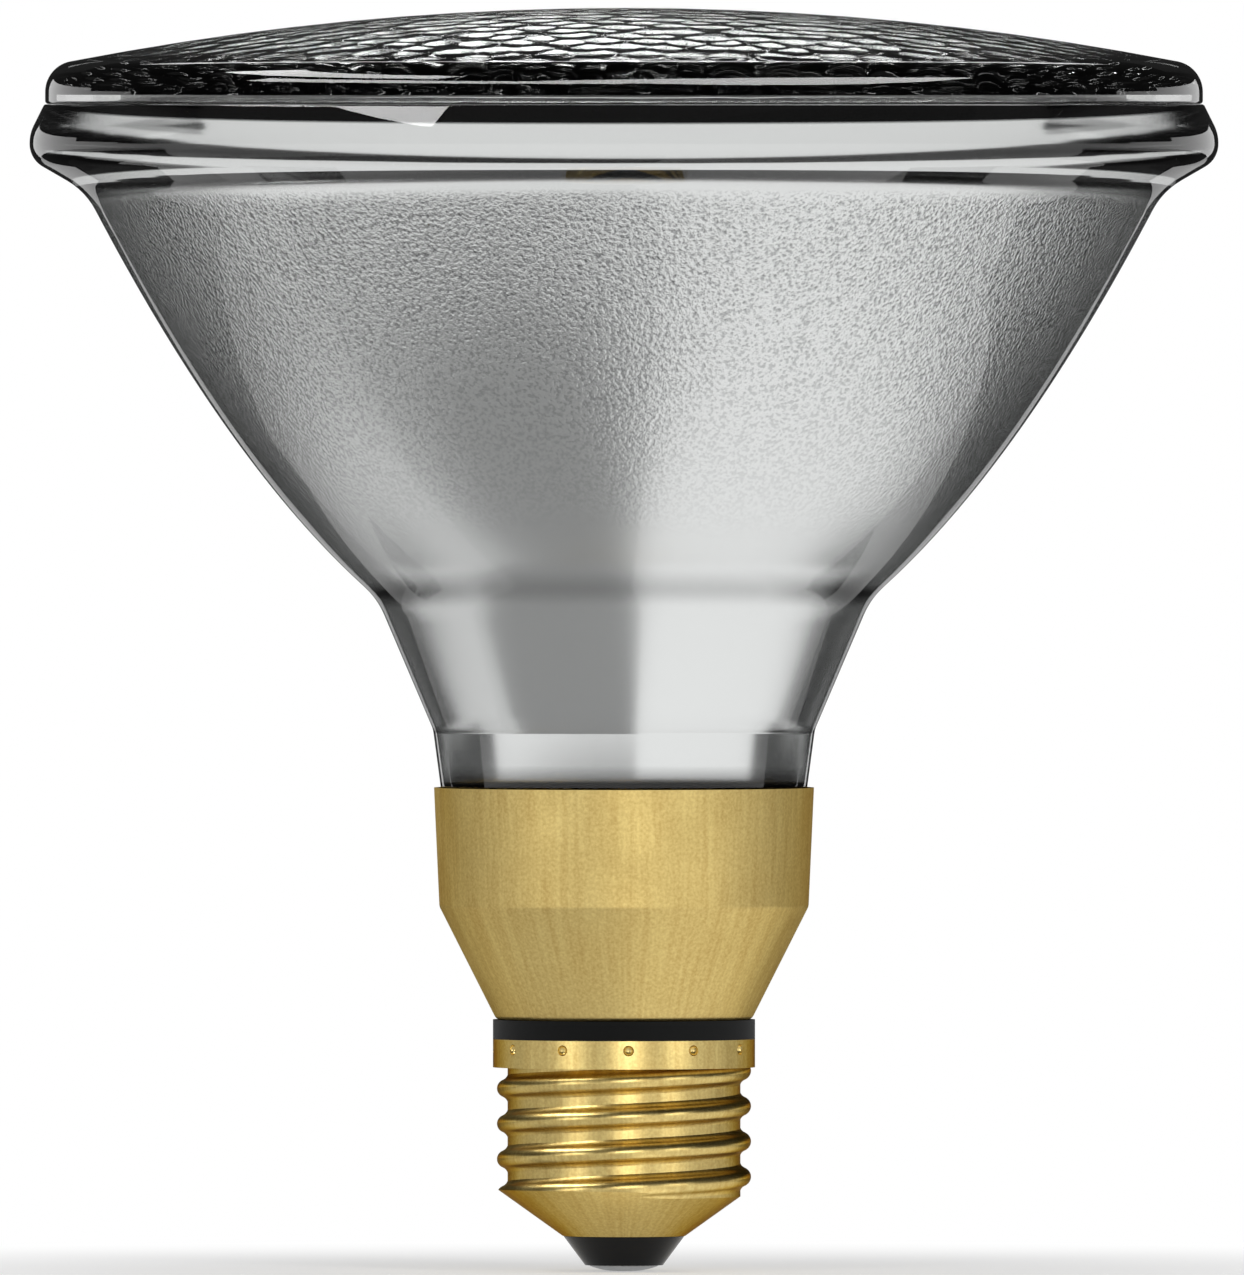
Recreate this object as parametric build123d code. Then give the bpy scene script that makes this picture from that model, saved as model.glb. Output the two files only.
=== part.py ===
from build123d import *

import os
from math import atan2, cos, hypot, radians, sin, sqrt, tan

# Sealed-beam reflector lamp on a skirted medium screw base. Millimetres, +Z towards the lens, with the
# origin on the axis at the tip of the centre contact. Heights are stacked from that tip upwards.

# Fits
seat_gap = 0.03  # between round faces that seat on each other
weld_gap = 0.02  # between wires laid side by side

# Centre contact and bottom insulator
contact_d = 7.0
contact_land_d = 2.4
contact_h = 0.6
stem_d = 2.6
stem_h = 7.0
button_tip_d = 8.0
button_h = 3.0
button_fill_h = 2.4

# Screw shell: medium Edison screw, seven turns to the inch
shell_wall = 0.35
mouth_d = 12.6
thread_crest_d = 26.2
thread_depth = 1.15
thread_pitch = 25.4 / 7
thread_turns = 4
crest_share = 0.937  # part of the pitch that one rounded ridge takes
end_cone_h = 2.8
end_cone_slope = 1.4  # growth of the radius for each millimetre of height
collar_step = 0.35  # of the collar over the crests
collar_h = 2.9
dimple_count = 12
dimple_r = 0.55
dimple_depth = 0.5
dimple_drop = 1.0  # below the upper edge of the collar
dimple_turn = 2.0  # degrees off the front

# Insulating ring
ring_h = 2.0
ring_wall = 1.4  # inside the eye of the skirt
ring_grip = 0.7  # of the ring over the foot of the skirt
ring_lip_h = 0.9

# Skirt
skirt_wall = 0.4
skirt_foot_step = 0.35  # of the foot inside the collar
skirt_eye_w = 2.1  # of the flat between the foot and the eye
skirt_cone_h = 11.6
skirt_taper = 0.55  # of the straight side, from the lip to the shoulder
skirt_h = 12.2
skirt_lip_d = 39.0
skirt_bend_r = 1.0
skirt_foot_r = 0.7

# Reflector: mirror paraboloid, heel, floor and neck
bowl_wall = 3.3
bowl_foot_d = 50.0  # of the mirror, where the outside of the bowl starts
heel_step = 0.8  # of the heel's foot over the neck
heel_reach = 2.63  # from the bowl down to the corner of the heel
heel_h = 6.0  # from the skirt's lip up to the foot of the heel
heel_wall = 3.0
heel_blend_r = 8.0
heel_foot_r = 3.0
well_blend_w = 3.0  # of the curve from the mirror into the well of the heel
floor_corner_r = 1.6
floor_sunk = 3.5  # from the skirt's lip down to the underside of the floor
floor_t = 3.0
cement_t = 0.3  # between the neck and the skirt
neck_sunk = 9.0
neck_taper = 0.8  # from the skirt's lip down to the end of the neck
neck_wall = 3.2
neck_edge_r = 0.8

# Rim
bead_d = 122.0
bead_low_h = 64.5  # from the skirt's lip to the corner under the bead
bead_h = 2.6
bead_under_angle = 30.0
bead_low_r = 2.7
bead_high_r = 4.0
flare_r = 7.6
flare_w = 9.8  # from the outside of the bead in to the mirror where the flare starts
flare_drop = 3.957  # from the corner under the bead down to the same place
seam_rise = 3.05  # from the bead up to the seam
seam_step = 0.1  # of the reflector over the lens
seal_w = 4.8
mirror_ledge = 1.2  # between the seal and the edge of the mirror

# Lens
lens_inset = 1.6  # inside the bead
lens_edge_h = 3.85
dome_h = 6.0
lens_wall = 3.8
lens_corner_r = 3.2
seam_edge_r = 0.35

# Halogen capsule
lead_rise = 11.1  # from the floor up to the pinch
pinch_h = 8.0
pinch_w = 9.5
pinch_t = 3.4
capsule_d = 12.0
capsule_h = 17.0
capsule_wall = 1.0
pinch_overlap = 1.6
pinch_edge_r = 1.0
capsule_crown_r = 5.0
capsule_foot_r = 3.6
tip_h = 1.8
tip_d = 2.4
foil_w = 1.8
foil_h = 4.4
foil_t = 0.1
lead_spread = 4.8
inner_lead_d = 0.6
outer_lead_d = 0.9
outer_lead_h = 2.9

# Filament
coil_d = 2.0
coil_h = 9.0
coil_turns = 9.5
coil_wire_d = 0.32

# Lead posts, ferrules, exhaust tube and base wires
post_d = 1.4
post_spread = 16.0
post_bend_r = 1.3
post_hole_d = 3.0
ferrule_d = 7.0
ferrule_wall = 0.4
ferrule_h = 7.0
ferrule_seat = 1.2
ferrule_corner_r = 1.2
tube_d = 5.0
tube_wall = 1.0
tube_h = 8.5
wire_d = 1.0
wire_bend_r = 3.0

# Heights
z_button = contact_h
z_mouth = z_button + button_h
z_thread = z_mouth + end_cone_h
z_collar = z_thread + thread_turns * thread_pitch
z_ring = z_collar + collar_h
z_skirt = z_ring + ring_h
z_shoulder = z_skirt + skirt_cone_h
z_lip = z_shoulder + skirt_h
z_floor = z_lip - floor_sunk
z_floor_top = z_floor + floor_t
z_heel = z_lip + heel_h
z_pinch = z_floor_top + lead_rise
z_foil = z_pinch + (pinch_h - pinch_overlap - foil_h) / 2
z_capsule = z_pinch + pinch_h - pinch_overlap
z_focus = z_capsule + capsule_h / 2
z_bead = z_lip + bead_low_h
z_seam = z_bead + bead_h + seam_rise
z_top = z_seam + lens_edge_h + dome_h

# Radii used by more than one piece
collar_r = thread_crest_d / 2 + collar_step
collar_bore_r = collar_r - shell_wall
root_r = thread_crest_d / 2 - thread_depth
ridge_half = crest_share * thread_pitch / 2
round_r = (ridge_half * ridge_half + thread_depth * thread_depth) / (4 * thread_depth)
mouth_r = mouth_d / 2
cone_lean = hypot(1, end_cone_slope)  # height step of a wall laid along the end cone
spigot_r = collar_bore_r - seat_gap
ring_eye_r = collar_r - skirt_foot_step - skirt_eye_w
ring_bore_r = ring_eye_r - ring_wall
skirt_lip_r = skirt_lip_d / 2
neck_lip_r = skirt_lip_r - skirt_wall - cement_t
neck_slope = neck_taper / neck_sunk
bead_r = bead_d / 2
lens_r = bead_r - lens_inset
seal_bore_r = lens_r - seal_w
post_x = post_spread / 2
lead_x = lead_spread / 2

# Mirror: its focus lies in the filament, and it runs out to the flare of the rim
flare_start_r = bead_r - flare_w
flare_start_h = z_bead - flare_drop - z_focus
focal = (hypot(flare_start_r, flare_start_h) - flare_start_h) / 2
z_vertex = z_focus - focal


def turned(*lines):
    """Solid turned about Z from an outline drawn with radius as X and height as Y."""
    edges = [edge for line in lines for edge in line.edges()]
    return revolve(Plane.XZ * make_face(edges), Axis.Z)


def turned_points(*points):
    return turned(Polyline(*points, close=True))


def standing(radius, height):
    """Upright cylinder on the ground plane."""
    return Cylinder(radius, height, align=(Align.CENTER, Align.CENTER, Align.MIN))


def round_edges_at(body, z):
    return body.edges().filter_by(GeomType.CIRCLE).filter_by_position(Axis.Z, z - 0.01, z + 0.01)


def outer_edge_at(body, z):
    """Outermost round edge at one height."""
    return round_edges_at(body, z).sort_by(SortBy.RADIUS)[-1]


def rod(diameter, start, end):
    """Straight round rod between two points."""
    path = Line(start, end)
    return sweep(Plane(path @ 0, z_dir=path % 0) * Circle(diameter / 2), path=path)


def bent_wire(diameter, bend_r, *points):
    path = FilletPolyline(*points, radius=bend_r)
    return sweep(Plane(path @ 0, z_dir=path % 0) * Circle(diameter / 2), path=path)


def meeting(point_a, direction_a, point_b, direction_b):
    """Point where two lines of the outline cross."""
    cross = direction_a[0] * direction_b[1] - direction_a[1] * direction_b[0]
    gap = (point_b[0] - point_a[0], point_b[1] - point_a[1])
    along = (gap[0] * direction_b[1] - gap[1] * direction_b[0]) / cross
    return (point_a[0] + along * direction_a[0], point_a[1] + along * direction_a[1])


def fitting(radius, room, turn):
    """Fillet radius, limited by the straight stretch that the fillet has beside its corner."""
    return min(radius, 0.95 * room / tan(turn / 2))


def mirror_z(r):
    return z_vertex + r * r / (4 * focal)


def mirror_tangent(r):
    steep = hypot(2 * focal, r)
    return (2 * focal / steep, r / steep)


def behind_mirror(r):
    """Point on the outside of the bowl, one wall thickness behind the mirror."""
    along = mirror_tangent(r)
    return (r + bowl_wall * along[1], mirror_z(r) - bowl_wall * along[0])


def make_reflector():
    # Outside: neck, heel, bowl, flare and bead
    foot = behind_mirror(bowl_foot_d / 2)
    head = behind_mirror(flare_start_r)
    foot_dir = mirror_tangent(bowl_foot_d / 2)
    head_dir = mirror_tangent(flare_start_r)
    bowl = Bezier(foot, meeting(foot, foot_dir, head, head_dir), head)
    neck_lip = (neck_lip_r, z_lip)
    neck_foot = (neck_lip_r - neck_taper, z_lip - neck_sunk)
    heel_foot = (neck_lip_r + heel_step, z_heel)
    heel_head = (foot[0] - heel_reach * foot_dir[0], foot[1] - heel_reach * foot_dir[1])
    heel_slope = (heel_head[0] - heel_foot[0]) / (heel_head[1] - z_heel)
    heel_turn = atan2(1, heel_slope) - atan2(foot_dir[1], foot_dir[0])
    heel_r = fitting(heel_blend_r, heel_reach, heel_turn)
    outside = FilletPolyline(neck_lip, heel_foot, heel_head, foot, radius=[heel_foot_r, heel_r])
    bead_low = (bead_r, z_bead)
    bead_high = (bead_r, z_bead + bead_h)
    seam = (lens_r + seam_step, z_seam)
    under = radians(bead_under_angle)
    flare = meeting(bead_low, (cos(under), sin(under)), head, head_dir)
    flare_turn = atan2(head_dir[1], head_dir[0]) - under
    flare_room = hypot(flare[0] - head[0], flare[1] - head[1])
    high_turn = atan2(bead_r - seam[0], seam_rise)
    high_r = fitting(bead_high_r, bead_h / 2, high_turn)
    low_r = fitting(bead_low_r, bead_h - high_r * tan(high_turn / 2), radians(90) - under)
    rim_radii = [fitting(flare_r, flare_room, flare_turn), low_r, high_r]
    rim = FilletPolyline(head, flare, bead_low, bead_high, seam, radius=rim_radii)
    # Inside: sealing face, mirror, well of the heel and the floor
    wall_x = heel_wall / cos(atan2(heel_slope, 1))
    knee = (heel_foot[0] - wall_x, z_heel)
    well_foot_r = knee[0] - heel_step / heel_h * (z_heel - z_floor_top)
    a = heel_slope / (4 * focal)
    c = knee[0] + heel_slope * (z_vertex - z_heel)
    well_r = (1 - sqrt(1 - 4 * a * c)) / (2 * a)
    mirror_r = seal_bore_r - mirror_ledge
    blend_r = well_r + well_blend_w
    blend = (blend_r, mirror_z(blend_r))
    mid = (blend_r + mirror_r) / 2
    mirror = Bezier(
        (mirror_r, mirror_z(mirror_r)),
        (mid, z_vertex + blend_r * mirror_r / (4 * focal)),
        blend,
    )
    seal = Polyline(seam, (seal_bore_r, z_seam), (mirror_r, mirror_z(mirror_r)))
    corner = meeting(blend, mirror_tangent(blend_r), knee, (heel_slope, 1))
    drop = hypot(blend[0] - corner[0], blend[1] - corner[1]) / hypot(heel_slope, 1)
    well_head = (corner[0] - heel_slope * drop, corner[1] - drop)
    well_blend = Bezier(blend, corner, well_head)
    well = Polyline(well_head, knee, (well_foot_r, z_floor_top), (0, z_floor_top))
    bore_r = neck_foot[0] - neck_wall
    bore = Polyline(
        (0, z_floor_top),
        (0, z_floor),
        (bore_r + neck_slope * (z_floor - neck_foot[1]), z_floor),
        (bore_r, neck_foot[1]),
        neck_foot,
        neck_lip,
    )
    body = turned(outside, bowl, rim, seal, mirror, well_blend, well, bore)
    body = fillet(outer_edge_at(body, z_floor_top), floor_corner_r)
    body = fillet(round_edges_at(body, neck_foot[1]), neck_edge_r)
    body = fillet(outer_edge_at(body, z_seam), seam_edge_r)
    # Lead holes with the ferrules' seats, and the hole of the exhaust tube
    for side in (-1, 1):
        body -= Pos(side * post_x, 0, z_floor) * standing(post_hole_d / 2, floor_t + 2)
        seat = standing(ferrule_d / 2 + seat_gap, ferrule_seat) - standing(
            ferrule_d / 2 - ferrule_wall - seat_gap, ferrule_seat
        )
        body -= Pos(side * post_x, 0, z_floor) * seat
    return body - Pos(0, 0, z_floor) * standing(tube_d / 2 + seat_gap, floor_t + 2)


def make_lens():
    wall_r = lens_r
    bore_r = seal_bore_r
    dome_r = (wall_r * wall_r + dome_h * dome_h) / (2 * dome_h)
    inner_r = dome_r - lens_wall

    def dome_z(radius, r):
        return z_top - dome_r + sqrt(radius * radius - r * r)

    z_corner = dome_z(dome_r, wall_r)
    outer_dome = ThreePointArc((0, z_top), (wall_r / 2, dome_z(dome_r, wall_r / 2)), (wall_r, z_corner))
    inner_dome = ThreePointArc(
        (bore_r, dome_z(inner_r, bore_r)),
        (bore_r / 2, dome_z(inner_r, bore_r / 2)),
        (0, z_top - lens_wall),
    )
    edge = Polyline(outer_dome @ 1, (wall_r, z_seam), (bore_r, z_seam), inner_dome @ 0)
    body = turned(outer_dome, edge, inner_dome, Line(inner_dome @ 1, outer_dome @ 0))
    body = fillet(outer_edge_at(body, z_corner), lens_corner_r)
    return fillet(outer_edge_at(body, z_seam), seam_edge_r)


# Rolled thread: a round crest runs into round roots, and the wall keeps its thickness
def ridge(start_r, crest_radius, root_radius, sink):
    """Helical ridge that stands on a cylinder, sunk a little into it."""
    half = ridge_half
    crest = (start_r + thread_depth - crest_radius, 0)
    root = (start_r + root_radius, half)
    reach = hypot(root[0] - crest[0], root[1])
    join = (crest[0] + (root[0] - crest[0]) * crest_radius / reach, half * crest_radius / reach)
    turn = (atan2(half - join[1], root[0] - join[0])) / 2
    bend = (root[0] - root_radius * cos(turn), half - root_radius * sin(turn))
    outline = [
        ThreePointArc((join[0], -join[1]), (start_r + thread_depth, 0), join),
        ThreePointArc(join, bend, (start_r, half)),
        Polyline((start_r, half), (start_r - sink, half), (start_r - sink, -half), (start_r, -half)),
        ThreePointArc((start_r, -half), (bend[0], -bend[1]), (join[0], -join[1])),
    ]
    path = Helix(thread_pitch, (thread_turns + 0.6) * thread_pitch, start_r)
    section = Plane.XZ * make_face([edge for line in outline for edge in line.edges()])
    return Pos(0, 0, z_thread - 0.1 * thread_pitch) * sweep(section, path=path, is_frenet=True)


def end_cone(low_r, low_z, high_z):
    """Everything above the cone that closes the foot of the shell."""
    high_r = low_r + end_cone_slope * (high_z - low_z)
    return turned_points((0, low_z), (low_r, low_z), (high_r, high_z), (0, high_z))


def make_screw_shell():
    sink = 0.06  # the ridges start a little below the root, so that they cut it cleanly
    outer = Pos(0, 0, z_mouth) * standing(root_r, z_ring - z_mouth)
    outer += ridge(root_r - sink, round_r, round_r, 0.2)
    outer &= end_cone(mouth_r, z_mouth, z_ring)
    outer += Pos(0, 0, z_collar) * standing(collar_r, collar_h)
    inner = Pos(0, 0, z_mouth) * standing(root_r - shell_wall, z_ring - z_mouth)
    inner += ridge(root_r - sink - shell_wall, round_r - shell_wall, round_r + shell_wall, 0.2)
    inner &= end_cone(mouth_r - shell_wall * cone_lean, z_mouth, z_ring)
    inner += Pos(0, 0, z_collar + shell_wall) * standing(collar_bore_r, collar_h - shell_wall)
    shell = outer - inner
    # Staking dimples: pressed in from outside, so the sheet bulges inside
    centre_r = collar_r + dimple_r - dimple_depth
    row = Pos(0, 0, z_ring - dimple_drop) * Rot(0, 0, dimple_turn - 90)
    spots = row * PolarLocations(centre_r, dimple_count)
    core = Pos(0, 0, z_collar) * standing(collar_r - shell_wall / 2, collar_h)
    for spot in spots:
        shell += spot * Sphere(dimple_r + shell_wall) & core
    for spot in spots:
        shell -= spot * Sphere(dimple_r)
    return shell


def make_bottom_insulator():
    inner_r = mouth_r - shell_wall * cone_lean - seat_gap * cone_lean
    fill_r = inner_r + end_cone_slope * button_fill_h
    bore_r = stem_d / 2 + seat_gap
    z_fill = z_mouth + button_fill_h
    return turned_points(
        (bore_r, z_button),
        (button_tip_d / 2, z_button),
        (mouth_r - 0.1, z_mouth - seat_gap),
        (inner_r, z_mouth - seat_gap),
        (inner_r, z_mouth),
        (fill_r, z_fill),
        (bore_r, z_fill),
    )


def make_centre_contact():
    rise = contact_h * 0.85
    land = Polyline((0, 0), (contact_land_d / 2, 0))
    dome = ThreePointArc(
        (contact_land_d / 2, 0),
        ((contact_d + contact_land_d) / 4, rise * 0.32),
        (contact_d / 2, rise),
    )
    stem = Polyline(
        (contact_d / 2, rise),
        (contact_d / 2, contact_h),
        (stem_d / 2, contact_h),
        (stem_d / 2, stem_h),
        (0, stem_h),
        (0, 0),
    )
    body = turned(land, dome, stem)
    return body - Pos(0, 0, contact_h) * standing(wire_d / 2 + weld_gap, stem_h)


def make_insulating_ring():
    bore_r = ring_bore_r
    eye_r = ring_eye_r - seat_gap
    z_lip_low = z_skirt + skirt_wall + seat_gap
    z_groove = z_ring - dimple_drop
    groove = dimple_depth + 2 * seat_gap
    bulge_r = dimple_r + shell_wall
    groove_h = sqrt(bulge_r**2 - (bulge_r - dimple_depth) ** 2) + seat_gap
    return turned_points(
        (bore_r, z_collar + shell_wall + seat_gap),
        (spigot_r, z_collar + shell_wall + seat_gap),
        (spigot_r, z_groove - groove_h),
        (spigot_r - groove, z_groove - groove_h / 2),
        (spigot_r - groove, z_groove + groove_h / 2),
        (spigot_r, z_groove + groove_h),
        (spigot_r, z_ring),
        (collar_r, z_ring),
        (collar_r, z_skirt),
        (eye_r, z_skirt),
        (eye_r, z_lip_low),
        (eye_r + ring_grip, z_lip_low),
        (eye_r + ring_grip, z_lip_low + ring_lip_h),
        (bore_r, z_lip_low + ring_lip_h),
    )


def skirt_outline(inset):
    """Side of the skirt from its lip down to its eye, set in from the outside."""
    foot_r = collar_r - skirt_foot_step
    lean = atan2(skirt_lip_r - skirt_taper - foot_r, skirt_cone_h)
    tilt = atan2(skirt_taper, skirt_h)
    lip = (skirt_lip_r - inset / cos(tilt), z_lip)
    upper = (lip, (sin(tilt), cos(tilt)))
    cone = ((foot_r - inset / cos(lean), z_skirt), (sin(lean), cos(lean)))
    shoulder = meeting(*upper, *cone)
    foot = meeting(*cone, (0, z_skirt + inset), (1, 0))
    return lip, shoulder, foot, (ring_eye_r, z_skirt + inset)


def make_skirt():
    outer = skirt_outline(0)
    inner = skirt_outline(skirt_wall)
    outside = FilletPolyline(*outer, radius=[skirt_bend_r, skirt_foot_r])
    inside = FilletPolyline(*inner, radius=[skirt_bend_r - skirt_wall, skirt_foot_r - skirt_wall])
    return turned(outside, Line(outer[-1], inner[-1]), inside, Line(inner[0], outer[0]))


def make_basing_cement():
    """Fills the room between the neck and the skirt."""
    skirt_slope = skirt_taper / skirt_h
    top = -0.6
    low = 1.2 - neck_sunk
    skirt_r = skirt_lip_r - skirt_wall - 2 * seat_gap
    neck_r = neck_lip_r + 2 * seat_gap
    return turned_points(
        (neck_r + neck_slope * low, z_lip + low),
        (skirt_r + skirt_slope * low, z_lip + low),
        (skirt_r + skirt_slope * top, z_lip + top),
        (neck_r + neck_slope * top, z_lip + top),
    )


def make_capsule_envelope():
    r = capsule_d / 2

    def rounded_bottle(radius, height, crown_r, foot_r):
        bottle = standing(radius, height)
        bottle = fillet(outer_edge_at(bottle, height), crown_r)
        return fillet(outer_edge_at(bottle, 0), foot_r)

    bulb = rounded_bottle(r, capsule_h, capsule_crown_r, capsule_foot_r)
    hollow = rounded_bottle(
        r - capsule_wall,
        capsule_h - 2 * capsule_wall,
        capsule_crown_r - capsule_wall,
        capsule_foot_r - capsule_wall,
    )
    tip_sunk = 0.2
    tip = Cone(tip_d / 2, tip_d / 5, tip_h + tip_sunk, align=(Align.CENTER, Align.CENTER, Align.MIN))
    pinch = Box(pinch_w, pinch_t, pinch_h, align=(Align.CENTER, Align.CENTER, Align.MIN))
    pinch = fillet(pinch.edges().filter_by(Axis.Z), pinch_edge_r)
    body = Pos(0, 0, z_capsule) * (bulb + Pos(0, 0, capsule_h - tip_sunk) * tip)
    body += Pos(0, 0, z_pinch) * pinch
    body -= Pos(0, 0, z_capsule + capsule_wall) * hollow
    for side in (-1, 1):
        pocket = Box(foil_w + 2 * weld_gap, foil_t + 2 * weld_gap, foil_h + 2 * weld_gap)
        body -= Pos(side * lead_x, 0, z_foil + foil_h / 2) * pocket
        body -= Pos(side * lead_x, 0, z_foil + foil_h) * standing(inner_lead_d / 2 + weld_gap, pinch_h)
        pin_hole = standing(outer_lead_d / 2 + weld_gap, 1 + z_foil - z_pinch)
        body -= Pos(side * lead_x, 0, z_pinch - 1) * pin_hole
    return body


def make_capsule_wires():
    """Foils, pins, inner leads and the filament between the leads."""
    z_low = z_focus - coil_h / 2
    z_high = z_focus + coil_h / 2
    foil = Box(foil_w, foil_t, foil_h, align=(Align.CENTER, Align.CENTER, Align.MIN))
    pin = standing(outer_lead_d / 2, outer_lead_h + z_foil - z_pinch)
    inner_r = inner_lead_d / 2
    over = coil_wire_d
    tail = lead_x - inner_r - weld_gap
    coil_r = coil_d / 2
    path = Helix(coil_h / coil_turns, coil_h, coil_r)
    coil = sweep(Plane(path @ 0, z_dir=path % 0) * Circle(coil_wire_d / 2), path=path, is_frenet=True)
    coil = Rot(0, 0, 180) * coil
    coil += rod(coil_wire_d, (-coil_r, 0, 0), (-tail, 0, 0))
    coil += rod(coil_wire_d, (coil_r, 0, coil_h), (tail, 0, coil_h))
    z_lead = z_foil + foil_h + weld_gap
    z_pin = z_pinch - outer_lead_h - weld_gap
    return {
        "filament": Pos(0, 0, z_low) * coil,
        "inner_lead_short": Pos(-lead_x, 0, z_lead) * standing(inner_r, z_low + over - z_lead),
        "inner_lead_long": Pos(lead_x, 0, z_lead) * standing(inner_r, z_high + over - z_lead),
        "seal_foils": Compound(children=[Pos(side * lead_x, 0, z_foil) * foil for side in (-1, 1)]),
        "capsule_leads": Compound(children=[Pos(side * lead_x, 0, z_pin) * pin for side in (-1, 1)]),
    }


def make_lead_post(side):
    """Stiff wire from the ferrule up through the floor, lapped against the capsule's pin."""
    lap_x = lead_x + outer_lead_d / 2 + weld_gap + post_d / 2
    z_arm = z_floor_top + 0.45 * lead_rise
    z_start = z_floor + ferrule_seat - ferrule_h + ferrule_wall + seat_gap
    return bent_wire(
        post_d,
        post_bend_r,
        (side * post_x, 0, z_start),
        (side * post_x, 0, z_arm),
        (side * lap_x, 0, z_arm),
        (side * lap_x, 0, z_pinch - 0.2),
    )


def make_ferrule(side):
    r = ferrule_d / 2
    z_low = z_floor + ferrule_seat - ferrule_h - seat_gap
    cup = standing(r, ferrule_h)
    cup = fillet(outer_edge_at(cup, 0), ferrule_corner_r)
    hollow = standing(r - ferrule_wall, ferrule_h)
    hollow = fillet(outer_edge_at(hollow, 0), ferrule_corner_r - ferrule_wall)
    return Pos(side * post_x, 0, z_low) * (cup - Pos(0, 0, ferrule_wall) * hollow)


def make_exhaust_tube():
    r = tube_d / 2
    bore = r - tube_wall
    low = z_floor_top - tube_h
    return turned_points(
        (0, low),
        (bore * 0.6, low),
        (r, low + 2.5 * tube_wall),
        (r, z_floor_top),
        (bore, z_floor_top),
        (bore, low + 3 * tube_wall),
        (0, low + 2 * tube_wall),
    )


def make_base_wires():
    z_end = z_floor + ferrule_seat - ferrule_h - 2 * seat_gap
    shell_x = root_r - shell_wall - wire_d / 2 - 2 * seat_gap
    run_x = ring_bore_r - wire_d
    contact = bent_wire(
        wire_d,
        wire_bend_r,
        (-post_x, 0, z_end),
        (-post_x, 0, z_shoulder),
        (0, 0, z_shoulder - post_x),
        (0, 0, contact_h + 2 * seat_gap),
    )
    shell = bent_wire(
        wire_d,
        wire_bend_r / 2,
        (post_x, 0, z_end),
        (post_x, 0, z_shoulder),
        (run_x, 0, z_shoulder - 3),
        (run_x, 0, z_collar - 0.5),
        (shell_x, 0, z_collar - thread_pitch),
        (shell_x, 0, z_collar - 2 * thread_pitch),
    )
    return {"contact_wire": contact, "shell_wire": shell}


pieces = {
    "lens": make_lens(),
    "reflector": make_reflector(),
    "skirt": make_skirt(),
    "insulating_ring": make_insulating_ring(),
    "screw_shell": make_screw_shell(),
    "bottom_insulator": make_bottom_insulator(),
    "centre_contact": make_centre_contact(),
    "basing_cement": make_basing_cement(),
    "capsule_envelope": make_capsule_envelope(),
    "lead_post_left": make_lead_post(-1),
    "lead_post_right": make_lead_post(1),
    "ferrule_left": make_ferrule(-1),
    "ferrule_right": make_ferrule(1),
    "exhaust_tube": make_exhaust_tube(),
    **make_capsule_wires(),
    **make_base_wires(),
}

os.makedirs("parts", exist_ok=True)
for name, piece in pieces.items():
    export_step(piece, f"parts/{name}.step")
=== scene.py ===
import random
from math import atan2, ceil, cos, hypot, pi, radians, sin, sqrt, tan

import bmesh
import bpy
from mathutils import Matrix, Vector
from mathutils.kdtree import KDTree


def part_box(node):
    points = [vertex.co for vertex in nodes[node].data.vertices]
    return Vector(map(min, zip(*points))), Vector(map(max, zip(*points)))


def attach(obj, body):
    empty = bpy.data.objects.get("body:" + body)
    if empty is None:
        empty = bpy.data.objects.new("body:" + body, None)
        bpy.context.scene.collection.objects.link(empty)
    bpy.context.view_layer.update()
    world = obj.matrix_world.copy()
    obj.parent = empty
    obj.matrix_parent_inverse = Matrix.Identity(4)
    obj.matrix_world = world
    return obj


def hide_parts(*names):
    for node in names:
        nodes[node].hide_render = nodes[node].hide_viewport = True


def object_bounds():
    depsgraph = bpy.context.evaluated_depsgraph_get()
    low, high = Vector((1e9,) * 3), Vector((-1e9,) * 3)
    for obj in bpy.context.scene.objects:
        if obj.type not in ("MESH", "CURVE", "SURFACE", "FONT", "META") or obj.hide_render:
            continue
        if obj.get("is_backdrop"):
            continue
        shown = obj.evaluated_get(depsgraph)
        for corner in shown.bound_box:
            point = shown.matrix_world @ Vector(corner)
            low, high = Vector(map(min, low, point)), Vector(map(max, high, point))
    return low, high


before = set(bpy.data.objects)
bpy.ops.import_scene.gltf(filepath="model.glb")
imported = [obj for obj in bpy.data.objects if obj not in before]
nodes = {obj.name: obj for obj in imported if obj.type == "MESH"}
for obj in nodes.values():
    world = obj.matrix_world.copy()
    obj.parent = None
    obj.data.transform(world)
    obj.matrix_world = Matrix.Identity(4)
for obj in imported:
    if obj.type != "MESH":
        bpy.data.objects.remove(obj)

# Sealed-beam reflector lamp, seen level from the side. Sizes are written in millimetres and the scene is in
# metres. The glass is turned here from the same sizes as the solids, because it needs a mirror film, a
# stippled lens face and smooth curves. All the other pieces are the solids themselves.

cad_low, cad_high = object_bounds()
MM = 0.001


def height(node, corner):
    """Lowest (0) or highest (1) level of a solid, in millimetres."""
    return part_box(node)[corner].z / MM


# Levels taken from the frame
z_lip = height("skirt", 1)
z_seam = height("lens", 0)
z_top = height("lens", 1)
z_neck_foot = height("reflector", 0)
z_focus = (height("filament", 0) + height("filament", 1)) / 2
bead_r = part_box("reflector")[1].x / MM
lens_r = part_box("lens")[1].x / MM
skirt_lip_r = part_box("skirt")[1].x / MM

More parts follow.
